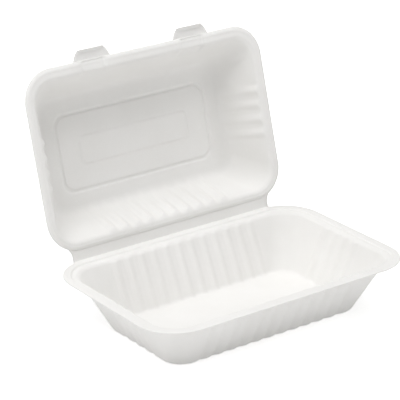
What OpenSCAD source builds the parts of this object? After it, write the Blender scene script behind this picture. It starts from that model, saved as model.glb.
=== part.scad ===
// Hinged clamshell food box, pressed from bagasse pulp as one sheet: a tray and a lid that meet
// at a crease. Millimetres. X runs left to right, Y front to back and Z up. The origin is the
// middle of the tray's foot, on the table, and the lid stands open as it does on a counter.

/* [Tray] */
// Length of the tray's rim, left to right
tray_length = 230; // [200:1:280]
// Width of the tray's rim, front to back
tray_width = 152; // [140:1:200]
// Height of the tray, from the table to the top of its rim
tray_height = 42.5; // [34:0.5:52]
// Wall thickness of the tray
tray_wall = 1.1; // [0.7:0.05:1.3]
// Radius of the tray rim's corners, seen from above
tray_corner = 32; // [28:1:36]
// Width of the flat border that runs round the rim
border_width = 5.5; // [5:0.1:6.5]
// Depth of the step from the border down to the lid's seat
seat_drop = 1.2; // [0.8:0.1:1.6]
// How far the top of the tray's wall stands in from the rim's edge
tray_mouth_inset = 11.3; // [10.8:0.1:13]

/* [Lid] */
// Height of the lid, from its rim to the top panel
lid_height = 33.2; // [26:0.1:44]
// Wall thickness of the lid
lid_wall = 0.65; // [0.6:0.05:1.2]
// Width of the rolled lip round the lid's rim
lip_width = 4.4; // [3.4:0.1:4.6]
// Height of the rolled lip
lip_rise = 1.3; // [0.9:0.1:1.6]
// How far the top of the lid's wall stands in from the lid's edge
lid_mouth_inset = 8.2; // [7.8:0.1:10]
// How far the lid's bowl sits off the middle, toward the hinge
bowl_shift = 1.4; // [0:0.1:2]
// Radius of the bend from the lid's walls into its panel
panel_bend = 7; // [3:0.5:9]
// Angle that the lid stands open, from closed
open_angle = 105; // [60:1:180]

/* [Walls] */
// Slope of all side walls from upright
draft = 26; // [18:1:30]
// Radius of the corners at the foot and the lid panel, seen from above
foot_corner = 15; // [12:1:20]
// Radius of the bend from the rim into a wall
mouth_bend = 4; // [2:0.5:5]
// Radius of the bend from the tray's walls into its floor
foot_bend = 3.5; // [2:0.5:6]

/* [Flutes] */
// Distance from one flute to the next, and so from rib to rib
flute_pitch = 11.4; // [9:0.1:16]
// Depth of a flute between its two ribs
flute_depth = 1.1; // [0.6:0.1:2]

/* [Lid panel] */
// Distance from the lid's edge to the middle of the stiffening groove
groove_inset = 39.5; // [38:0.5:44]
// Width of the groove
groove_width = 3; // [2:0.1:4]
// Depth of the groove
groove_depth = 1; // [0.5:0.1:1.5]
// Distance from the lid's edge to the raised middle field
field_inset = 58.5; // [54:0.5:62]
// Height of the raised middle field
field_rise = 0.8; // [0.4:0.1:1.2]

/* [Locking tabs] */
// Distance from the middle of the box to the middle of a tab
tab_offset = 45; // [35:1:55]
// Width of a tab where it leaves the rim
tab_root = 32; // [26:1:40]
// Width of a tab at its tip
tab_tip = 23; // [16:1:25]
// How far a tab's tip hooks over the tray's rim
tab_hook = 1.6; // [1:0.1:3]

/* [Hinge] */
// Half of the length of the hinge strip
hinge_half = 91; // [80:1:95]

/* [Hidden] */
// Clearance at the crease and between the closed rims, up and down and sideways
gap = 0.3;
nest_gap = 0.4;
// Steps in the arc of a corner and in the arc of a bend
corner_steps = 8;
bend_steps = 3;
// Run of the step from the border to the seat
seat_run = 1;
// Plain length kept free at each end of a row of ribs
flute_margin = 0.5;
// Share of the flute's depth at each step of the mouth's bend and of the foot's bend
flute_rise = [0, 0.45, 0.85, 1];
flute_fade = [1, 0.75, 0.4, 0];
// Flat width kept inside the foot's bend
floor_edge = 3;
// Places in a pitch, and shares of the depth there, that draw one rib between two flutes
rib_wave = [[-0.32, 0], [-0.14, 0.65], [0, 1], [0.14, 0.65], [0.32, 0]];
// Section of the rolled lip: shares of its width and of its height
lip_curve = [[0.225, 0.38], [0.55, 0.8], [1, 1]];
// Dip between the rolled lip and the lid's flange
dip_run = 0.9;
dip_depth = 0.1;
// Finger hollow behind each tab: how deep each ring of the lip and the first of the mouth's bend
// is pressed, and the run of the slope at each end
hollow_depth = [0, 0.9, 1.4, 1.3, 1.2, 1.1];
hollow_side = 1.5;
// Radius of a tab's corners and of the bend into its hook
tab_round = 3.5;
hook_bend = 1;
// How far the strip and the tabs reach into the lip, and how far their faces stay off its faces
embed = 0.6;
face_off = 0.05;
// How far the hinge strip widens at its two edges
flare = 3;
pulp_white = [0.94, 0.93, 0.9];
lid_inset = border_width + seat_run + nest_gap;
lid_length = tray_length - 2 * lid_inset;
lid_width = tray_width - 2 * lid_inset;
lid_corner = tray_corner - lid_inset;
web_wall = lid_wall - 2 * face_off;

// Outward direction and running direction of side k of a ring, counted from the right-hand side
function outward(k) = [cos(90 * k), sin(90 * k)];
function along(k) = [-sin(90 * k), cos(90 * k)];

// Points of an arc of radius r that rounds the corner b of the path a, b, c
function bend(a, b, c, r) =
    let(u = (a - b) / norm(a - b), v = (c - b) / norm(c - b), half = acos(u * v) / 2,
        mid = b + (u + v) / norm(u + v) * r / sin(half), p = b + u * r / tan(half) - mid,
        turn = 180 - 2 * half, way = u[0] * v[1] - u[1] * v[0] > 0 ? -1 : 1)
    [for (i = [0:bend_steps]) let(q = way * turn * i / bend_steps)
        mid + [p[0] * cos(q) - p[1] * sin(q), p[0] * sin(q) + p[1] * cos(q)]];

// Path moved sideways by t, with its corners kept sharp
function moved(path, t) =
    let(n = len(path), dir = [for (i = [0:n - 2]) (path[i + 1] - path[i]) / norm(path[i + 1] - path[i])])
    [for (i = [0:n - 1])
        let(a = dir[max(i - 1, 0)], b = dir[min(i, n - 2)], m = (a + b) / norm(a + b))
        path[i] + [m[1], -m[0]] * t / (m * a)];

// Ribs that fit on a side whose straight part at the foot is 2 * half long
function rib_count(half) = 2 * max(1, floor((half - flute_margin) / flute_pitch));
function rib_marks(half) =
    let(n = rib_count(half))
    [for (i = [0:n - 1]) for (w = rib_wave) [(i - (n - 1) / 2 + w[0]) * flute_pitch, w[1]]];

// How far a row of marks is drawn in, so that it fits a straight side that ends at end
function squeeze(row, end) = len(row) == 0 ? 1 : min(1, (end - flute_margin) / row[len(row) - 1][0]);

// A station is [inset, z, corner radius, kind, depth, shift toward the back, sink]. Kind names the
// set of marks along its sides: 0 for none, 1 for ribs and 2 for the hollows behind the tabs.
function ring(half, marks, st) =
    [for (k = [0:3])
        let(h = half[k % 2] - st[0], g = half[(k + 1) % 2] - st[0], n = outward(k), t = along(k),
            mid = n * (h - st[2]) + t * (g - st[2]) + [0, st[5]],
            row = marks[st[3]][k], f = squeeze(row, g - st[2]))
        each concat(
            [for (m = row)
                concat(n * (h - st[4] * m[1]) + t * m[0] * f + [0, st[5]], st[1] - st[6] * m[1])],
            [for (j = [0:corner_steps]) let(q = 90 * (k + j / corner_steps))
                concat(mid + st[2] * [cos(q), sin(q)], st[1])])];

function ring_size(marks, kind) = len([for (k = [0:3]) each marks[kind][k]]) + 4 * (corner_steps + 1);
function side_start(marks, kind, k) =
    k == 0 ? 0 : side_start(marks, kind, k - 1) + len(marks[kind][k - 1]) + corner_steps + 1;

// Triangles between two runs of point numbers a and b, matched by their places pa and pb
function zip(a, pa, b, pb, i = 0, j = 0) =
    i == len(a) - 1 && j == len(b) - 1 ? [] :
    j == len(b) - 1 || (i < len(a) - 1 && pa[i + 1] <= pb[j + 1])
        ? concat([[a[i], a[i + 1], b[j]]], zip(a, pa, b, pb, i + 1, j))
        : concat([[a[i], b[j + 1], b[j]]], zip(a, pa, b, pb, i, j + 1));

// Point numbers of side k of a ring, with the corner points at its two ends, and their places
function side_run(marks, kind, k, base) =
    let(n = ring_size(marks, kind), s = side_start(marks, kind, k), m = len(marks[kind][k]))
    [for (j = [-1:m]) base + (s + j + n) % n];
function side_places(half, marks, st, k) =
    let(e = half[(k + 1) % 2] - st[0] - st[2], row = marks[st[3]][k], f = squeeze(row, e))
    concat([-e], [for (m = row) m[0] * f], [e]);

// Band of triangles from one ring in to the next
function band(half, marks, sa, sb, base_a, base_b) =
    [for (k = [0:3])
        let(ca = base_a + side_start(marks, sa[3], k) + len(marks[sa[3]][k]),
            cb = base_b + side_start(marks, sb[3], k) + len(marks[sb[3]][k]),
            steps = [for (j = [0:corner_steps]) j])
        each concat(
            zip(side_run(marks, sa[3], k, base_a), side_places(half, marks, sa, k),
                side_run(marks, sb[3], k, base_b), side_places(half, marks, sb, k)),
            zip([for (j = steps) ca + j], steps, [for (j = steps) cb + j], steps))];

function reversed(faces) = [for (f = faces) [f[2], f[1], f[0]]];
function running(sizes, i) = i == 0 ? 0 : running(sizes, i - 1) + sizes[i - 1];

// Pressed sheet between an upper and a lower run of stations, which share their first ring
module pressed_sheet(size, marks, upper, lower) {
    half = size / 2;
    nu = len(upper);
    all = concat(upper, [for (i = [1:len(lower) - 1]) lower[i]]);
    sizes = [for (s = all) ring_size(marks, s[3])];
    base = [for (i = [0:len(all) - 1]) running(sizes, i)];
    last = len(all) - 1;
    points = [for (s = all) each ring(half, marks, s)];
    top = [for (i = [0:nu - 2]) each band(half, marks, all[i], all[i + 1], base[i], base[i + 1])];
    under = [for (i = [nu - 1:last - 1])
        let(a = i == nu - 1 ? 0 : i)
        each band(half, marks, all[a], all[i + 1], base[a], base[i + 1])];
    floor_top = [for (i = [1:sizes[nu - 1] - 2]) [base[nu - 1], base[nu - 1] + i + 1, base[nu - 1] + i]];
    floor_under = [for (i = [1:sizes[last] - 2]) [base[last], base[last] + i, base[last] + i + 1]];
    polyhedron(points, concat(reversed(top), under, floor_top, floor_under));
}

// Corner radius at an inset: it follows the rim down to the mouth, then eases to the foot's
function plan_radius(o, rim, mouth, foot) =
    o <= mouth ? rim - o :
    o <= foot ? rim - mouth + (foot_corner - rim + mouth) * (o - mouth) / (foot - mouth) :
    max(foot_corner - (o - foot) * 0.4, 6);

// Path of a section from the mouth's bend to the flat inside the foot's bend
function wall_path(rim_end, mouth, foot, flat, low_bend) =
    concat(bend(rim_end, mouth, foot, mouth_bend), bend(mouth, foot, flat, low_bend), [flat]);

// Kind, flute share and hollow of each point of wall_path, with the kind and hollow of its first
function wall_kinds(first, sink) =
    concat([for (i = [0:bend_steps]) i == 0 ? [first, 0, sink] : [1, flute_rise[i], 0]],
        [for (f = flute_fade) [1, f, 0]], [[0, 0, 0]]);

// Rows of ribs on the sides of a bowl with this foot: on the short sides and on the long ones
function rib_rows(half, foot) =
    [for (k = [1, 0]) rib_marks(half[k] - foot[0] - foot_corner)];

// Stations of one face of a sheet; path is the upper face and face is the same path or a moved one
function stations(path, face, kinds, corner, mouth, foot, shift_from, shift) =
    [for (i = [0:len(path) - 1])
        [face[i][0], face[i][1], plan_radius(path[i][0], corner, mouth[0], foot[0]) + path[i][0] - face[i][0],
            kinds[i][0], flute_depth * kinds[i][1], i < shift_from ? 0 : shift, kinds[i][2]]];

module tray() {
    edge = tray_wall / 2;
    mouth = [tray_mouth_inset, -seat_drop];
    floor_z = tray_wall - tray_height;
    foot = [mouth[0] + (mouth[1] - floor_z) * tan(draft), floor_z];
    flat = foot + [foot_bend + floor_edge, 0];
    rim = [[edge, 0], [border_width, 0], [border_width + seat_run, -seat_drop]];
    path = concat(rim, wall_path(rim[2], mouth, foot, flat, foot_bend));
    kinds = concat([for (p = rim) [0, 0, 0]], wall_kinds(0, 0));
    rows = rib_rows([tray_length, tray_width] / 2, foot);
    marks = [[[], [], [], []], [rows[0], rows[1], rows[0], rows[1]]];
    nose = [[0, -edge, tray_corner, 0, 0, 0, 0]];
    color(pulp_white) translate([0, 0, tray_height])
        pressed_sheet([tray_length, tray_width], marks,
            concat(nose, stations(path, path, kinds, tray_corner, mouth, foot, 0, 0)),
            concat(nose, stations(path, moved(path, tray_wall), kinds, tray_corner, mouth, foot, 0, 0)));
}

// Lid's bowl as pressed, open side up, with its hinge edge at the back
module lid_bowl() {
    edge = lid_wall / 2;
    flange_z = lip_rise;
    mouth = [lid_mouth_inset, flange_z];
    panel_z = lid_wall - lid_height;
    foot = [mouth[0] + (mouth[1] - panel_z) * tan(draft), panel_z];
    flat = foot + [panel_bend + floor_edge, 0];
    lip = concat([[edge, 0]], [for (c = lip_curve) [c[0] * lip_width, c[1] * lip_rise]],
        [[lip_width + dip_run, lip_rise - dip_depth]]);
    groove = [for (s = [[-0.5, 0], [-0.2, 1], [0.2, 1], [0.5, 0]])
        [groove_inset + s[0] * groove_width, panel_z - s[1] * groove_depth]];
    field = [[field_inset, panel_z], [field_inset + field_rise, panel_z + field_rise]];
    n = len(lip);
    path = concat(lip, wall_path(lip[n - 1], mouth, foot, flat, panel_bend), groove, field);
    kinds = concat([for (i = [0:n - 1]) [2, 0, hollow_depth[i]]], wall_kinds(2, hollow_depth[n]),
        [for (p = concat(groove, field)) [0, 0, 0]]);
    rows = rib_rows([lid_length, lid_width] / 2, foot);
    inner = tab_tip / 2 - hollow_side;
    outer = tab_tip / 2;
    hollows = [for (c = [-tab_offset, tab_offset]) each
        [[c - outer, 0], [c - inner, 1], [c + inner, 1], [c + outer, 0]]];
    marks = [[[], [], [], []], [rows[0], rows[1], rows[0], []], [[], [], [], hollows]];
    nose = [[0, -edge, lid_corner, 0, 0, 0, 0]];
    pressed_sheet([lid_length, lid_width], marks,
        concat(nose, stations(path, path, kinds, lid_corner, mouth, foot, n, bowl_shift)),
        concat(nose, stations(path, moved(path, lid_wall), kinds, lid_corner, mouth, foot, n, bowl_shift)));
}

// Strip of sheet that runs away from an edge: path gives its upper face, plan its outline
module web(path, plan) {
    under = moved(path, web_wall);
    intersection() {
        translate([0, 0, -2 * lid_wall]) linear_extrude(2 * lid_wall + tab_hook + 1) polygon(plan);
        translate([-lid_length / 2, 0, 0]) rotate([90, 0, 90]) linear_extrude(lid_length)
            polygon(concat(path, [for (i = [len(path) - 1:-1:0]) under[i]]));
    }
}

// Locking tab that reaches forward from the edge at y = 0, with its hook turned up
module tab() {
    reach = lid_inset + nest_gap;
    path = concat([[-embed, -face_off]],
        bend([0, -face_off], [reach, -face_off], [reach, tab_hook], hook_bend), [[reach, tab_hook]]);
    root = tab_root / 2;
    tip = tab_tip / 2;
    end = reach + web_wall;
    rounded = bend([root, 0], [tip, end], [-tip, end], tab_round);
    web(path, concat([[-root, -embed], [root, -embed], [root, 0]], rounded,
        [for (i = [bend_steps:-1:0]) [-rounded[i][0], rounded[i][1]]], [[-root, 0]]));
}

// Hinge strip that reaches from the edge at y = 0 to the crease. Its root follows the rounded
// corners of the lid, and its ends flare out with a fillet at both edges.
module strip() {
    straight = lid_length / 2 - lid_corner;
    turn = asin(min(0.9, (hinge_half + flare - straight) / (lid_corner - embed)));
    root = [for (i = [0:bend_steps]) let(q = turn * i / bend_steps)
        i == 0 ? [straight - flare, -embed] :
            [straight + (lid_corner - embed) * sin(q), (lid_corner - embed) * cos(q) - lid_corner]];
    out = root[bend_steps];
    side = concat(root, bend(out, [hinge_half, out[1] + 2 * flare], [hinge_half, lid_inset], flare),
        bend([hinge_half, 0], [hinge_half, lid_inset - flare / 2], [hinge_half + flare / 2, lid_inset], flare / 2),
        [[hinge_half + flare / 2, lid_inset]]);
    web([[-lid_corner / 2, -face_off], [lid_inset, -face_off]],
        concat(side, [for (i = [len(side) - 1:-1:0]) [-side[i][0], side[i][1]]]));
}

module lid() {
    color(pulp_white)
        translate([0, tray_width / 2 + gap / 2, tray_height + gap / 2])
            rotate([180 - open_angle, 0, 0])
                translate([0, tray_width / 2 + gap / 2, -gap / 2])
                    rotate([0, 0, 180]) {
                        lid_bowl();
                        translate([0, lid_width / 2, 0]) strip();
                        for (x = [-tab_offset, tab_offset])
                            translate([x, -lid_width / 2, 0]) rotate([0, 0, 180]) tab();
                    }
}

tray();
lid();
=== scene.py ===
# %% [markdown]
# # A moulded-pulp clamshell box in Blender
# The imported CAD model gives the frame: a tray, and a lid that stands open on a crease. This script
# rebuilds both pressings with finer walls, rims and flutes, gives them a pulp material, and lights
# them softly on a white sweep.

import math

import bpy
import numpy as np
from mathutils import Matrix, Vector


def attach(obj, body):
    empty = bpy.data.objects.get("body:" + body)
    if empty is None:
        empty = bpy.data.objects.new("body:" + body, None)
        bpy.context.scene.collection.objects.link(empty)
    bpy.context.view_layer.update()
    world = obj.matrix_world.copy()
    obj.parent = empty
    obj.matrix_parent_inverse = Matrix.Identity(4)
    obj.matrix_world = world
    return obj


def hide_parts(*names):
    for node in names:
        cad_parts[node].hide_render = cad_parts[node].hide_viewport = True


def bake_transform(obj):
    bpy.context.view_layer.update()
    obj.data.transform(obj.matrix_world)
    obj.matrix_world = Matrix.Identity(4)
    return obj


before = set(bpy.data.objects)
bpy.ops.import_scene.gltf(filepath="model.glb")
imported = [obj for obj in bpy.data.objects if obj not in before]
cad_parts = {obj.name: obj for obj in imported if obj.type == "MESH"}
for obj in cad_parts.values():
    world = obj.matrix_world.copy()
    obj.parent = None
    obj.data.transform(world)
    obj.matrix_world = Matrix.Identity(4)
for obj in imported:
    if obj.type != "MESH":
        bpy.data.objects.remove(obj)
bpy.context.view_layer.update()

# %% [markdown]
# ## Sizes
# All sizes are in millimetres. They are the CAD model's, so each surface lies where its solid does,
# apart from the flutes, which are pressed deeper here so that they show as in the photograph.

# %%
MM = 0.001
TRAY_SIZE = (230.0, 152.0)
TRAY_HEIGHT = 42.5
TRAY_WALL = 1.1
TRAY_CORNER = 32.0
BORDER = 5.5
SEAT_RUN = 1.0
SEAT_DROP = 1.2
TRAY_MOUTH = 11.3
LID_INSET = 6.9
LID_SIZE = (TRAY_SIZE[0] - 2 * LID_INSET, TRAY_SIZE[1] - 2 * LID_INSET)
LID_CORNER = TRAY_CORNER - LID_INSET
LID_HEIGHT = 33.2
LID_WALL = 0.65
LIP_RISE = 1.3
LID_MOUTH = 8.2
LID_FLUTES = (1.6, 0.5)
BOWL_SHIFT = 1.4
DRAFT = math.tan(math.radians(26))
FOOT_CORNER = 15.0
MOUTH_BEND = 4.0
FOOT_BEND = 3.5
PANEL_BEND = 7.0
GROOVE_INSET = 39.5
FIELD_INSET = 58.5
FLUTE_PITCH = 11.4
FLUTE_DEPTH = 1.25
TAB_OFFSET = 45.0
TAB_HOOK = 1.6
HOLLOW_DEPTH = 1.2
HOLLOW_HALF = 9.0
HOLLOW_EDGE = 3.4
HINGE_HALF = 91.0
AXIS_Y = TRAY_SIZE[1] / 2 + 0.15
AXIS_Z = TRAY_HEIGHT + 0.15
LEAN = math.radians(75)
print("lid", LID_SIZE, "hinge axis at y", AXIS_Y, "z", AXIS_Z)

# %% [markdown]
# ## Camera
# The camera comes first: its angles, distance and lens were fitted to the outlines in the photograph.

# %%
def camera_matrix(azimuth, elevation, roll, distance, target):
    """Camera pose from a viewing direction, a distance and the point it looks at."""
    a, e, r = (math.radians(v) for v in (azimuth, elevation, roll))
    back = Vector((math.sin(a) * math.cos(e), -math.cos(a) * math.cos(e), math.sin(e)))
    right = Vector((math.cos(a), math.sin(a), 0.0))
    up = back.cross(right)
    right, up = right * math.cos(r) + up * math.sin(r), up * math.cos(r) - right * math.sin(r)
    pose = Matrix((right, up, back)).transposed().to_4x4()
    pose.translation = Vector(target) + back * distance
    return pose


lens = bpy.data.cameras.new("photo_camera")
lens.lens = 186.02
lens.sensor_width = 36.0
lens.clip_end = 20.0
camera = bpy.data.objects.new("photo_camera", lens)
camera.matrix_world = camera_matrix(-35.4, 21.85, -0.83, 1.6505, (0.05591, 0.11948, 0.0425))
bpy.context.scene.collection.objects.link(camera)
bpy.context.scene.camera = camera
print("camera at", [round(v, 3) for v in camera.location])

# %% [markdown]
# ## Section of a pressing
# A pressing is one skin of even thickness, so it is drawn as one path: from the rim down the wall to
# the floor. Bends are arcs, and the underside is the same path moved by the wall's thickness.

# %%
def bend(a, b, c, radius, steps):
    """Arc of a radius that rounds the corner b of the path a, b, c."""
    a, b, c = (np.asarray(p, float) for p in (a, b, c))
    u, v = (a - b) / np.linalg.norm(a - b), (c - b) / np.linalg.norm(c - b)
    half = math.acos(float(np.clip(u @ v, -1, 1))) / 2
    middle = b + (u + v) / np.linalg.norm(u + v) * radius / math.sin(half)
    p, q = b + u * radius / math.tan(half) - middle, b + v * radius / math.tan(half) - middle
    turn = math.pi - 2 * half
    shares = [(math.sin(turn * (1 - i / steps)), math.sin(turn * i / steps)) for i in range(steps + 1)]
    return [middle + (one * p + other * q) / math.sin(turn) for one, other in shares]


def between(a, b, steps):
    """Points that divide a straight stretch, without its two ends."""
    a, b = np.asarray(a, float), np.asarray(b, float)
    return [a * (1 - i / steps) + b * i / steps for i in range(1, steps)]


def moved(path, distance):
    """The path moved sideways, to the right of its direction."""
    path = np.asarray(path, float)
    step = np.diff(path, axis=0)
    step /= np.linalg.norm(step, axis=1)[:, None]
    before, after = np.vstack([step[:1], step]), np.vstack([step, step[-1:]])
    mean = before + after
    mean /= np.linalg.norm(mean, axis=1)[:, None]
    side = np.stack([mean[:, 1], -mean[:, 0]], 1)
    return path + side * (distance / np.sum(mean * before, axis=1))[:, None]


print("a 4 mm bend of a wall:", np.round(bend((0, 0), (5, 0), (8, -6), 4, 3), 2).tolist())

# %% [markdown]
# ## Rings round the rim
# The path is swept round a rounded rectangle. Each ring has the same number of points, so rings join
# into quads. A row of flutes is pressed into a side: narrow ribs stand in from the wall between them.

# %%
FLUTE_STEPS = 12
CORNER_STEPS = 18
LEAD_STEPS = 4
RIB_REACH = 0.42
ROW_MARGIN = 0.4


def rib_marks(half):
    """Places and depth shares of the ribs on a side whose straight part at the foot is 2 * half."""
    count = 2 * int((half - 0.5) / FLUTE_PITCH)
    turns = np.linspace(-count / 2, count / 2, count * FLUTE_STEPS + 1)
    from_rib = np.abs(turns - np.floor(turns) - 0.5)
    shares = np.where(from_rib < RIB_REACH, 0.5 + 0.5 * np.cos(np.pi * from_rib / RIB_REACH), 0)
    return turns * FLUTE_PITCH, shares


def ring(size, marks, inset, z, corner, depth, front, shift):
    """One ring of points at an inset from the rim; front gives the (inset, z) move at a front place."""
    points = []
    for k in range(4):
        angle = math.pi / 2 * k
        out = np.array([math.cos(angle), math.sin(angle)])
        along = np.array([-math.sin(angle), math.cos(angle)])
        half, other = size[k % 2] / 2 - inset, size[(k + 1) % 2] / 2 - inset
        places, shares = marks[(k + 1) % 2]
        end = other - corner
        places = places * min(1.0, (end - ROW_MARGIN) / places[-1])
        lead = np.linspace(-end, places[0], LEAD_STEPS + 1)[:-1]
        along_side = np.concatenate([lead, places, -lead[::-1]])
        inward = np.concatenate([lead * 0, shares, lead * 0]) * depth
        drop = np.zeros(len(along_side))
        if k == 3 and front:
            moves = np.array([front(s) for s in along_side])
            inward, drop = moves[:, 0], moves[:, 1]
        for s, i, d in zip(along_side, inward, drop):
            points.append([*(out * (half - i) + along * s), z + d])
        middle = out * (half - corner) + along * end
        for j in range(1, CORNER_STEPS):
            q = angle + math.pi / 2 * j / CORNER_STEPS
            points.append([middle[0] + corner * math.cos(q), middle[1] + corner * math.sin(q), z])
    points = np.array(points)
    points[:, 1] += shift
    return points


print("ribs on a 135 mm side:", int((rib_marks(67.5)[1] > 0.99).sum()))

# %% [markdown]
# ## A whole pressing
# The upper and the lower face share a rounded nose at the rim. Each face closes in the middle of the
# floor, so the mesh is one closed skin.

# %%
NOSE_ANGLES = (60, 30, 0, -30, -60)
SHIFT_RUN = 2.0
FLOOR_CORNER = 4.0


def plan_radius(inset, rim, mouth, foot):
    """Corner radius in plan: it follows the rim to the mouth, then eases to the foot's."""
    if inset <= mouth:
        return rim - inset
    if inset <= foot:
        return rim - mouth + (FOOT_CORNER - rim + mouth) * (inset - mouth) / (foot - mouth)
    return max(FOOT_CORNER - (inset - foot) * 0.4, FLOOR_CORNER)


def pressing(size, corner, mouth, foot, path, shares, wall, marks, front=None, shift=(0, 0)):
    """Points and faces of a pressed sheet, from the section path of its upper face.

    shares are the flutes' depths along the path, as parts of FLUTE_DEPTH. shift is how far the bowl
    moves towards the back, and the inset from which it starts to.
    """
    path = np.array(path)
    under = moved(path, wall)
    nose = [(path[0] + under[0]) / 2 + wall / 2 * np.array([-math.cos(q), math.sin(q)])
            for q in np.radians(NOSE_ANGLES)]
    section = list(under[::-1]) + nose[::-1] + list(path)
    share = list(shares[::-1]) + [0] * len(nose) + list(shares)
    base = list(path[::-1]) + [path[0]] * len(nose) + list(path)
    rings = []
    for point, depth, origin in zip(section, share, base):
        radius = plan_radius(origin[0], corner, mouth, foot) + origin[0] - point[0]
        ease = np.clip((origin[0] - shift[1]) / SHIFT_RUN, 0, 1)
        moves = (lambda place, o=origin: front(place, o)) if front else None
        depth = FLUTE_DEPTH * depth
        rings.append(ring(size, marks, point[0], point[1], radius, depth, moves, shift[0] * ease))
    count = len(rings[0])
    points = np.concatenate(rings)
    faces = [tuple(range(count - 1, -1, -1)), tuple((len(rings) - 1) * count + i for i in range(count))]
    for r in range(len(rings) - 1):
        for i in range(count):
            j = (i + 1) % count
            faces.append((r * count + i, r * count + j, (r + 1) * count + j, (r + 1) * count + i))
    return points, faces


def smoothstep(low, high, value):
    """0 below low, 1 above high, and smooth between."""
    t = np.clip((value - low) / (high - low), 0, 1)
    return t * t * (3 - 2 * t)


def make_object(name, points, faces, place=Matrix()):
    """Object at the origin, whose mesh holds the points in metres, moved by place."""
    mesh = bpy.data.meshes.new(name)
    matrix = np.array(place)
    metres = np.asarray(points) * MM
    metres = metres @ matrix[:3, :3].T + matrix[:3, 3]
    mesh.from_pydata(metres.tolist(), [], [tuple(int(i) for i in f) for f in faces])
    mesh.validate()
    for polygon in mesh.polygons:
        polygon.use_smooth = True
    thing = bpy.data.objects.new(name, mesh)
    bpy.context.scene.collection.objects.link(thing)
    return thing


print("smoothstep halfway:", float(smoothstep(0, 1, np.array(0.5))))

# %% [markdown]
# ## Tray
# Flat border, a small step down to the lid's seat, fluted walls that lean out, and a flat floor.

# %%
floor_z = TRAY_WALL - TRAY_HEIGHT
mouth = np.array([TRAY_MOUTH, -SEAT_DROP])
foot = np.array([TRAY_MOUTH + (mouth[1] - floor_z) * DRAFT, floor_z])
step_top, step_foot = (BORDER, 0.0), (BORDER + SEAT_RUN, -SEAT_DROP)
floor_at = (foot[0] + 12, floor_z)
mouth_arc = bend(step_foot, mouth, foot, MOUTH_BEND, 8)
foot_arc = bend(mouth, foot, floor_at, FOOT_BEND, 8)
wall_points = between(mouth_arc[-1], foot_arc[0], 8)
path = [(TRAY_WALL / 2, 0), (1.4, 0.0), (3.2, 0.0)]
path += bend((3.2, 0), step_top, step_foot, 1.0, 4) + bend(step_top, step_foot, mouth, 1.0, 4)
shares = [0] * len(path)
path += mouth_arc + wall_points + foot_arc
shares += list(smoothstep(0, 1, np.linspace(0, 1, len(mouth_arc))))
shares += [1] * (len(wall_points) + len(foot_arc))
floor_fade = {3: 0.9, 5: 0.6, 8: 0.2, 12: 0, 20: 0, 28: 0}
path += [(foot[0] + d, floor_z) for d in floor_fade]
shares += list(floor_fade.values())
tray_marks = [rib_marks(TRAY_SIZE[k] / 2 - foot[0] - FOOT_CORNER) for k in (0, 1)]
points, faces = pressing(TRAY_SIZE, TRAY_CORNER, mouth[0], foot[0], path, np.array(shares), TRAY_WALL,
                         tray_marks)
points[:, 2] += TRAY_HEIGHT
tray = make_object("tray_pressing", points, faces)
print("tray:", len(faces), "faces, lowest point", round(float(points[:, 2].min()), 2))

# %% [markdown]
# ## Lid
# The lid is pressed like the tray: a rolled lip, a narrow flange, walls, and a panel with a groove and
# a raised field. Behind each tab a finger hollow runs over the flange. The lid is drawn open side up,
# then leaned back about the crease.

# %%
SHIFT_START = 3.5
on_axis = Matrix.Translation((0, AXIS_Y * MM, AXIS_Z * MM)) @ Matrix.Rotation(LEAN, 4, "X")
LID_PLACE = on_axis @ Matrix.Translation((0, AXIS_Y * MM, -0.15 * MM)) @ Matrix.Rotation(math.pi, 4, "Z")
panel_z = LID_WALL - LID_HEIGHT
lid_mouth = np.array([LID_MOUTH, LIP_RISE])
lid_foot = np.array([LID_MOUTH + (LIP_RISE - panel_z) * DRAFT, panel_z])


def hollow(place, point):
    """Moves (inset, z) of a point of the front side, so that a finger hollow lies behind each tab."""
    off = abs(abs(place) - TAB_OFFSET)
    inset, z = point
    reach = smoothstep(0.3, 1.8, inset) * smoothstep(-9.0, -4.0, z)
    amount = HOLLOW_DEPTH * float(smoothstep(HOLLOW_HALF + HOLLOW_EDGE, HOLLOW_HALF, off) * reach)
    tilt = float(smoothstep(LID_MOUTH - 2.5, LID_MOUTH + 1.5, inset))
    return -0.9 * amount * tilt, -amount * (1 - 0.56 * tilt)


lip = [(LID_WALL / 2, 0), (0.45, 0.2), (0.7, 0.42), (1.0, 0.6), (1.5, 0.84), (2.1, 1.06), (2.7, 1.22),
       (3.2, 1.28), (3.6, 1.24), (3.9, 1.15), (4.2, 1.1), (4.7, 1.12), (5.3, 1.18)]
mouth_arc = bend(lip[-1], lid_mouth, lid_foot, MOUTH_BEND, 8)
foot_arc = bend(lid_mouth, lid_foot, (lid_foot[0] + 12, panel_z), PANEL_BEND, 10)
wall_points = between(mouth_arc[-1], foot_arc[0], 8)
path = lip + mouth_arc + wall_points + foot_arc
shares = [0] * len(lip) + list(LID_FLUTES[0] * smoothstep(0, 1, np.linspace(0, 1, len(mouth_arc))))
shares += list(np.linspace(*LID_FLUTES, len(wall_points)))
shares += list(LID_FLUTES[1] * np.linspace(1, 0.5, len(foot_arc)))
groove = [(-2.4, 0), (-1.9, -0.03), (-1.5, -0.2), (-1.1, -0.6), (-0.7, -0.9), (0, -1), (0.7, -0.9),
          (1.1, -0.6), (1.5, -0.2), (1.9, -0.03), (2.4, 0)]
field = [(-1.2, 0), (-0.8, 0.06), (-0.4, 0.25), (0, 0.45), (0.4, 0.62), (0.8, 0.74), (1.4, 0.8), (4.0, 0.8)]
panel_points = [(lid_foot[0] + d, panel_z) for d in (6.5, 9)]
panel_points += [(GROOVE_INSET + a, panel_z + b) for a, b in groove]
panel_points += [(48.0, panel_z)]
panel_points += [(FIELD_INSET + a, panel_z + b) for a, b in field]
path += panel_points
shares += [0] * len(panel_points)
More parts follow.
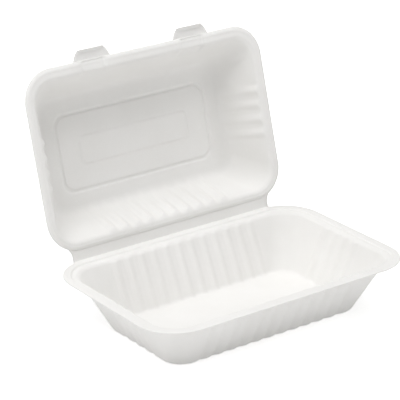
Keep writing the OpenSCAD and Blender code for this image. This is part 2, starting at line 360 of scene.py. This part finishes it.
lid_marks = [rib_marks(LID_SIZE[k] / 2 - lid_foot[0] - FOOT_CORNER) for k in (0, 1)]
points, faces = pressing(LID_SIZE, LID_CORNER, lid_mouth[0], lid_foot[0], path, np.array(shares), LID_WALL,
                         lid_marks, hollow, (BOWL_SHIFT, SHIFT_START))
lid = make_object("lid_pressing", points, faces, LID_PLACE)
print("lid:", len(faces), "faces")

# %% [markdown]
# ## Narrow sheets
# The locking tabs and the hinge strip are narrow sheets at the lid's edge. A sheet is a grid whose
# rows run from one end to the other. One function gives the half width at a row, another the point.

# %%
def sheet(rows, half_width, place, wall, columns):
    """Closed mesh of a narrow sheet, whose upper face place(across, row) gives point by point."""
    across = np.linspace(-1, 1, columns + 1)
    upper = np.array([[place(c * half_width(r), r) for c in across] for r in rows])
    along = np.gradient(upper, axis=0)
    side = np.gradient(upper, axis=1)
    normal = np.cross(side, along)
    normal /= np.linalg.norm(normal, axis=2)[:, :, None]
    lower = upper - normal * wall
    n, m = len(rows), columns + 1
    points = np.concatenate([upper.reshape(-1, 3), lower.reshape(-1, 3)])
    faces = []
    for i in range(n - 1):
        for j in range(m - 1):
            a, b = i * m + j, i * m + j + 1
            c, d = b + m, a + m
            faces += [(a, b, c, d), (n * m + d, n * m + c, n * m + b, n * m + a)]
    edge = list(range(m)) + [i * m + m - 1 for i in range(1, n)]
    edge += [(n - 1) * m + j for j in range(m - 2, -1, -1)] + [i * m for i in range(n - 2, 0, -1)]
    faces += [(a, n * m + a, n * m + b, b) for a, b in zip(edge, edge[1:] + edge[:1])]
    return points, faces


flat, flat_faces = sheet([0, 1, 2], lambda row: 1.0, lambda across, row: (across, row, 0.0), 0.5, 4)
print("a plain sheet of 2 by 4 cells:", len(flat), "points,", len(flat_faces), "faces")

# %% [markdown]
# ## Locking tabs
# A tab leaves the lid's front edge flat, then hooks over the tray's rim when the lid is closed. A band
# runs round a shallow dish.

# %%
TAB_REACH = LID_INSET + 0.4
TAB_ROOT_HALF = 16.0
TAB_TAPER = 0.45
TAB_DISH = 0.8
TAB_BAND = 2.6
TAB_DROP = 0.1
ROOT_DROP = 0.3
TAB_ROUND = 4.2
ROUND_START = 3.2
HOOK_ARC = 0.6
TAB_FLAT = TAB_REACH - HOOK_ARC
TAB_LENGTH = TAB_FLAT + HOOK_ARC * math.pi / 2 + TAB_HOOK - HOOK_ARC


def tab_half(row):
    """Half width of a tab at a length from its root, with rounded corners at the tip."""
    side = TAB_ROOT_HALF - TAB_TAPER * max(row, 0)
    past = max(row - ROUND_START, 0) / (TAB_LENGTH - ROUND_START)
    return side - TAB_ROUND * (1 - math.sqrt(max(1 - past ** 2, 0)))


def tab_section(row):
    """Reach and height along a tab: flat, then a bend, then a hook that clears the tray's rim."""
    turn = min(max(row - TAB_FLAT, 0) / HOOK_ARC, math.pi / 2)
    rise = max(row - TAB_FLAT - HOOK_ARC * math.pi / 2, 0)
    return min(row, TAB_FLAT) + HOOK_ARC * math.sin(turn), HOOK_ARC * (1 - math.cos(turn)) + rise


def tab_place(side):
    """Upper face of the tab on a side: a dish with a band round it, and a tip that hooks up."""
    def place(across, row):
        reach, hook = tab_section(row)
        from_edge = min(tab_half(row) - abs(across), TAB_REACH - reach)
        dish = -TAB_DISH * float(smoothstep(0.3, TAB_BAND, from_edge))
        sunk = float(smoothstep(-1.0, 0.4, reach))
        height = -TAB_DROP + (dish + hook) * sunk - ROOT_DROP * (1 - sunk)
        return (side * TAB_OFFSET - across, -(LID_SIZE[1] / 2) - reach, height)
    return place


tab_rows = list(np.linspace(-1.0, TAB_FLAT, 18)) + list(np.linspace(TAB_FLAT, TAB_LENGTH, 10)[1:])
for side in (-1, 1):
    points, faces = sheet(tab_rows, tab_half, tab_place(side), LID_WALL, 28)
    tab = make_object("tab_%s" % ("left" if side > 0 else "right"), points, faces, LID_PLACE)
    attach(tab, "lid")
print("tab half widths", [round(tab_half(r), 1) for r in tab_rows[::4]])

# %% [markdown]
# ## Hinge strip
# Its section runs from inside the tray's rim, round the crease and up to the lid's edge, in the leaned
# pose.

# %%
STRIP_OFFSET = (0.14, -0.04)
TRAY_FLARE = 1.5
LID_FLARE = 2.6
FLARE_RUN = 4.5
lean_dir = np.array([math.cos(LEAN), math.sin(LEAN)])
crease = np.array([AXIS_Y, AXIS_Z])
strip_section = [(74.6, TRAY_HEIGHT - 0.25), (75.3, TRAY_HEIGHT - 0.2), (75.7, TRAY_HEIGHT - 0.22)]
strip_section += [tuple(p) for p in bend((75.0, TRAY_HEIGHT - 0.2), (76.05, TRAY_HEIGHT - 0.2),
                                         crease + lean_dir * 3 + STRIP_OFFSET, 0.35, 4)]
LID_ROWS = [0.9, 1.4, 1.9, 2.5, 3.2, 4.0, 4.8, 5.5, 6.1, 6.6, 7.0, 7.5]
STRIP_TOP = LID_ROWS[-1]
strip_reach = [0] * len(strip_section) + LID_ROWS
TRAY_ROWS = len(strip_section) - 1
strip_section += [tuple(crease + lean_dir * d + STRIP_OFFSET) for d in LID_ROWS]


def strip_half(row):
    """Half length of the strip at a row of its section: it flares with a fillet at both ends."""
    from_tray = row / TRAY_ROWS
    from_lid = (STRIP_TOP - strip_reach[row]) / FLARE_RUN
    return HINGE_HALF + TRAY_FLARE * max(1 - from_tray, 0) ** 2 + LID_FLARE * max(1 - from_lid, 0) ** 2


def strip_place(across, row):
    """Point of the strip's upper face, which reaches back to the lid's rounded corners at its ends."""
    past = max(abs(across) - (LID_SIZE[0] / 2 - LID_CORNER), 0)
    corner = LID_CORNER - math.sqrt(LID_CORNER ** 2 - past ** 2)
    extra = lean_dir * corner * (strip_reach[row] / STRIP_TOP)
    return (across, strip_section[row][0] + extra[0], strip_section[row][1] + extra[1])


points, faces = sheet(range(len(strip_section)), strip_half, strip_place, LID_WALL, 60)
strip = make_object("hinge_strip", points, faces)
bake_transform(strip)
print("strip:", len(faces), "faces, half length at the tray", round(strip_half(0), 1), "mm")

# %% [markdown]
# ## Riding and replacing
# Each pressing rides its body and stands for its CAD node.

# %%
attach(tray, "tray")
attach(lid, "lid")
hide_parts("tray")
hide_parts("lid")

# %% [markdown]
# ## Shader expressions
# One class wraps a node's output, so a material reads as ordinary Python sums.

# %%
class Shade:
    """A value in a material's node tree."""

    def __init__(self, tree, socket):
        self.tree, self.socket = tree, socket

    def make(self, kind, output=0, settings=None, **inputs):
        """Any node: settings are its options, and inputs its sockets by name, or by number as i0."""
        node = self.tree.nodes.new("ShaderNode" + kind)
        for key, value in (settings or {}).items():
            setattr(node, key, value)
        for key, value in inputs.items():
            numbered = key[0] == "i" and key[1:].isdigit()
            target = node.inputs[int(key[1:]) if numbered else key]
            if isinstance(value, Shade):
                self.tree.links.new(value.socket, target)
            else:
                target.default_value = value
        return Shade(self.tree, node.outputs[output])

    def maths(self, operation, first, second):
        return self.make("Math", settings={"operation": operation}, i0=first, i1=second)

    def __add__(self, other):
        return self.maths("ADD", self, other)

    def __radd__(self, other):
        return self.maths("ADD", other, self)

    def __sub__(self, other):
        return self.maths("SUBTRACT", self, other)

    def __rsub__(self, other):
        return self.maths("SUBTRACT", other, self)

    def __mul__(self, other):
        return self.maths("MULTIPLY", self, other)

    def __rmul__(self, other):
        return self.maths("MULTIPLY", other, self)

    def __truediv__(self, other):
        return self.maths("DIVIDE", self, other)

    def __rtruediv__(self, other):
        return self.maths("DIVIDE", other, self)

    def __pow__(self, other):
        return self.maths("POWER", self, other)

    def clamp(self, low=0.0, high=1.0):
        return self.make("Clamp", Value=self, Min=low, Max=high)

    def noise(self, scale, detail=3.0, roughness=0.5):
        """Noise with features of about 1 / scale metres, centred on 0.5."""
        return self.make("TexNoise", Vector=self, Scale=scale, Detail=detail, Roughness=roughness)

    def stretched(self, x, y, z):
        return self.make("VectorMath", settings={"operation": "MULTIPLY"}, i0=self, i1=(x, y, z))

    def blend_colours(self, low, high):
        """Colour between two colours, by this value."""
        return self.make("Mix", output=2, settings={"data_type": "RGBA"}, Factor=self, i6=low, i7=high)


print("shader values support + - * / and powers")

# %% [markdown]
# ## Pulp
# Pressed bagasse is a matt off-white felt of short fibres. Its colour drifts a little, fibres show as
# faint flecks, and the surface has a fine tooth with a slow unevenness from the mould.

# %%
CLOUD, MOULD, TOOTH, FIBRE, FELT = 28, 160, 900, 1500, 2600
DARK_PULP = (0.80, 0.79, 0.768, 1)
PALE_PULP = (0.87, 0.863, 0.85, 1)
FIBRE_START = 0.62


def pulp_material(name):
    """Moulded pulp: off-white, matt and finely toothed."""
    material = bpy.data.materials.new(name)
    material.use_nodes = True
    tree = material.node_tree
    surface = next(n for n in tree.nodes if n.type == "BSDF_PRINCIPLED")
    start = Shade(tree, None)
    place = start.make("TexCoord", output=3)
    cloud = place.noise(CLOUD, 3.0)
    mould = place.noise(MOULD, 2.0)
    tooth = place.noise(TOOTH, 2.0, 0.6)
    felt = place.noise(FELT, 2.0, 0.7)
    across = place.stretched(1.0, 0.18, 1.0).noise(FIBRE, 1.0)
    along = place.stretched(0.18, 1.0, 0.5).noise(FIBRE, 1.0)
    fibres = ((across - FIBRE_START).clamp() + (along - FIBRE_START).clamp()) * 4.0
    tone = (0.5 + (cloud - 0.5) * 0.9 + (tooth - 0.5) * 0.35 + fibres * 0.25).clamp()
    colour = tone.blend_colours(DARK_PULP, PALE_PULP)
    rough = (0.86 + (felt - 0.5) * 0.2 + (cloud - 0.5) * 0.1).clamp(0.6, 1.0)
    tree.links.new(colour.socket, surface.inputs["Base Color"])
    tree.links.new(rough.socket, surface.inputs["Roughness"])
    surface.inputs["Specular IOR Level"].default_value = 0.25
    height = (tooth - 0.5) * 0.5 + (felt - 0.5) * 0.25 + fibres * 0.3 + (mould - 0.5) * 0.8
    bump = start.make("Bump", Height=height, Strength=0.35, Distance=0.0002)
    tree.links.new(bump.socket, surface.inputs["Normal"])
    return material


pulp = pulp_material("pulp")
for thing in [o for o in bpy.data.objects if o.type == "MESH" and not o.hide_render]:
    thing.data.materials.clear()
    thing.data.materials.append(pulp)
print("pulp nodes:", len(pulp.node_tree.nodes))

# %% [markdown]
# ## White sweep and soft light
# The floor is pale to the light and glows faintly, so that it fills the shaded sides as a lit sweep
# does. The camera sees it lifted towards white, more so far from the box, where the lamps are weak.

# %%
FLOOR_HALF = 8000.0
FAR_START = 0.5
FAR_RUN = 1.5
FLOOR_GLOW = 0.135
LIFT_NEAR = 0.37
LIFT_FAR = 0.86


def floor_material():
    """Pale diffuse floor with a faint glow, and a further lift where the camera sees it."""
    material = bpy.data.materials.new("white_sweep")
    material.use_nodes = True
    tree = material.node_tree
    surface = next(n for n in tree.nodes if n.type == "BSDF_PRINCIPLED")
    surface.inputs["Base Color"].default_value = (0.9, 0.9, 0.9, 1)
    surface.inputs["Roughness"].default_value = 0.9
    surface.inputs["Specular IOR Level"].default_value = 0.1
    start = Shade(tree, None)
    place = start.make("TexCoord", output=3)
    distance = start.make("VectorMath", output=1, settings={"operation": "LENGTH"}, i0=place)
    lift = LIFT_NEAR + (LIFT_FAR - LIFT_NEAR) * ((distance - FAR_START) / FAR_RUN).clamp()
    glow = start.make("LightPath") * lift + FLOOR_GLOW
    colour = start.make("CombineColor", Red=glow, Green=glow, Blue=glow)
    tree.links.new(colour.socket, surface.inputs["Emission Color"])
    surface.inputs["Emission Strength"].default_value = 1.0
    return material


points = [(x * FLOOR_HALF, y * FLOOR_HALF, 0) for x, y in ((-1, -1), (1, -1), (1, 1), (-1, 1))]
floor = make_object("floor", points, [(0, 1, 2, 3)])
floor.data.materials.append(floor_material())


def softbox(name, size, power, place, aim):
    """Square area light that looks from place to aim, in metres."""
    light = bpy.data.lights.new(name, "AREA")
    light.shape, light.size, light.energy = "SQUARE", size, power
    thing = bpy.data.objects.new(name, light)
    thing.location = place
    thing.rotation_euler = (Vector(aim) - Vector(place)).to_track_quat("-Z", "Y").to_euler()
    bpy.context.scene.collection.objects.link(thing)


AIM = (0.0, 0.05, 0.05)
BOXES = {
    "top": (1.6, 17.0, (0.0, 0.1, 1.8)),
    "top_left": (0.7, 5.5, (-0.8, -0.2, 1.5)),
    "top_right": (0.7, 3.5, (0.8, -0.2, 1.5)),
    "left": (1.2, 8.0, (-1.5, 0.1, 0.8)),
    "right": (1.2, 1.3, (1.5, 0.1, 0.8)),
    "front": (1.2, 2.3, (0.0, -1.2, 1.4)),
    "front_left": (1.0, 3.1, (-1.3, -1.2, 0.7)),
    "front_right": (1.0, 6.7, (1.0, -1.4, 0.6)),
    "back": (1.4, 3.0, (0.0, 1.3, 1.3)),
}
for name, (size, power, place) in BOXES.items():
    softbox(name, size, power, place, AIM)
world = bpy.data.worlds.new("studio")
world.use_nodes = True
background = world.node_tree.nodes["Background"]
background.inputs["Color"].default_value = (1.0, 1.0, 1.0, 1)
background.inputs["Strength"].default_value = 0.03
bpy.context.scene.world = world
bpy.context.scene.view_settings.view_transform = "Standard"
bpy.context.scene.view_settings.look = "None"
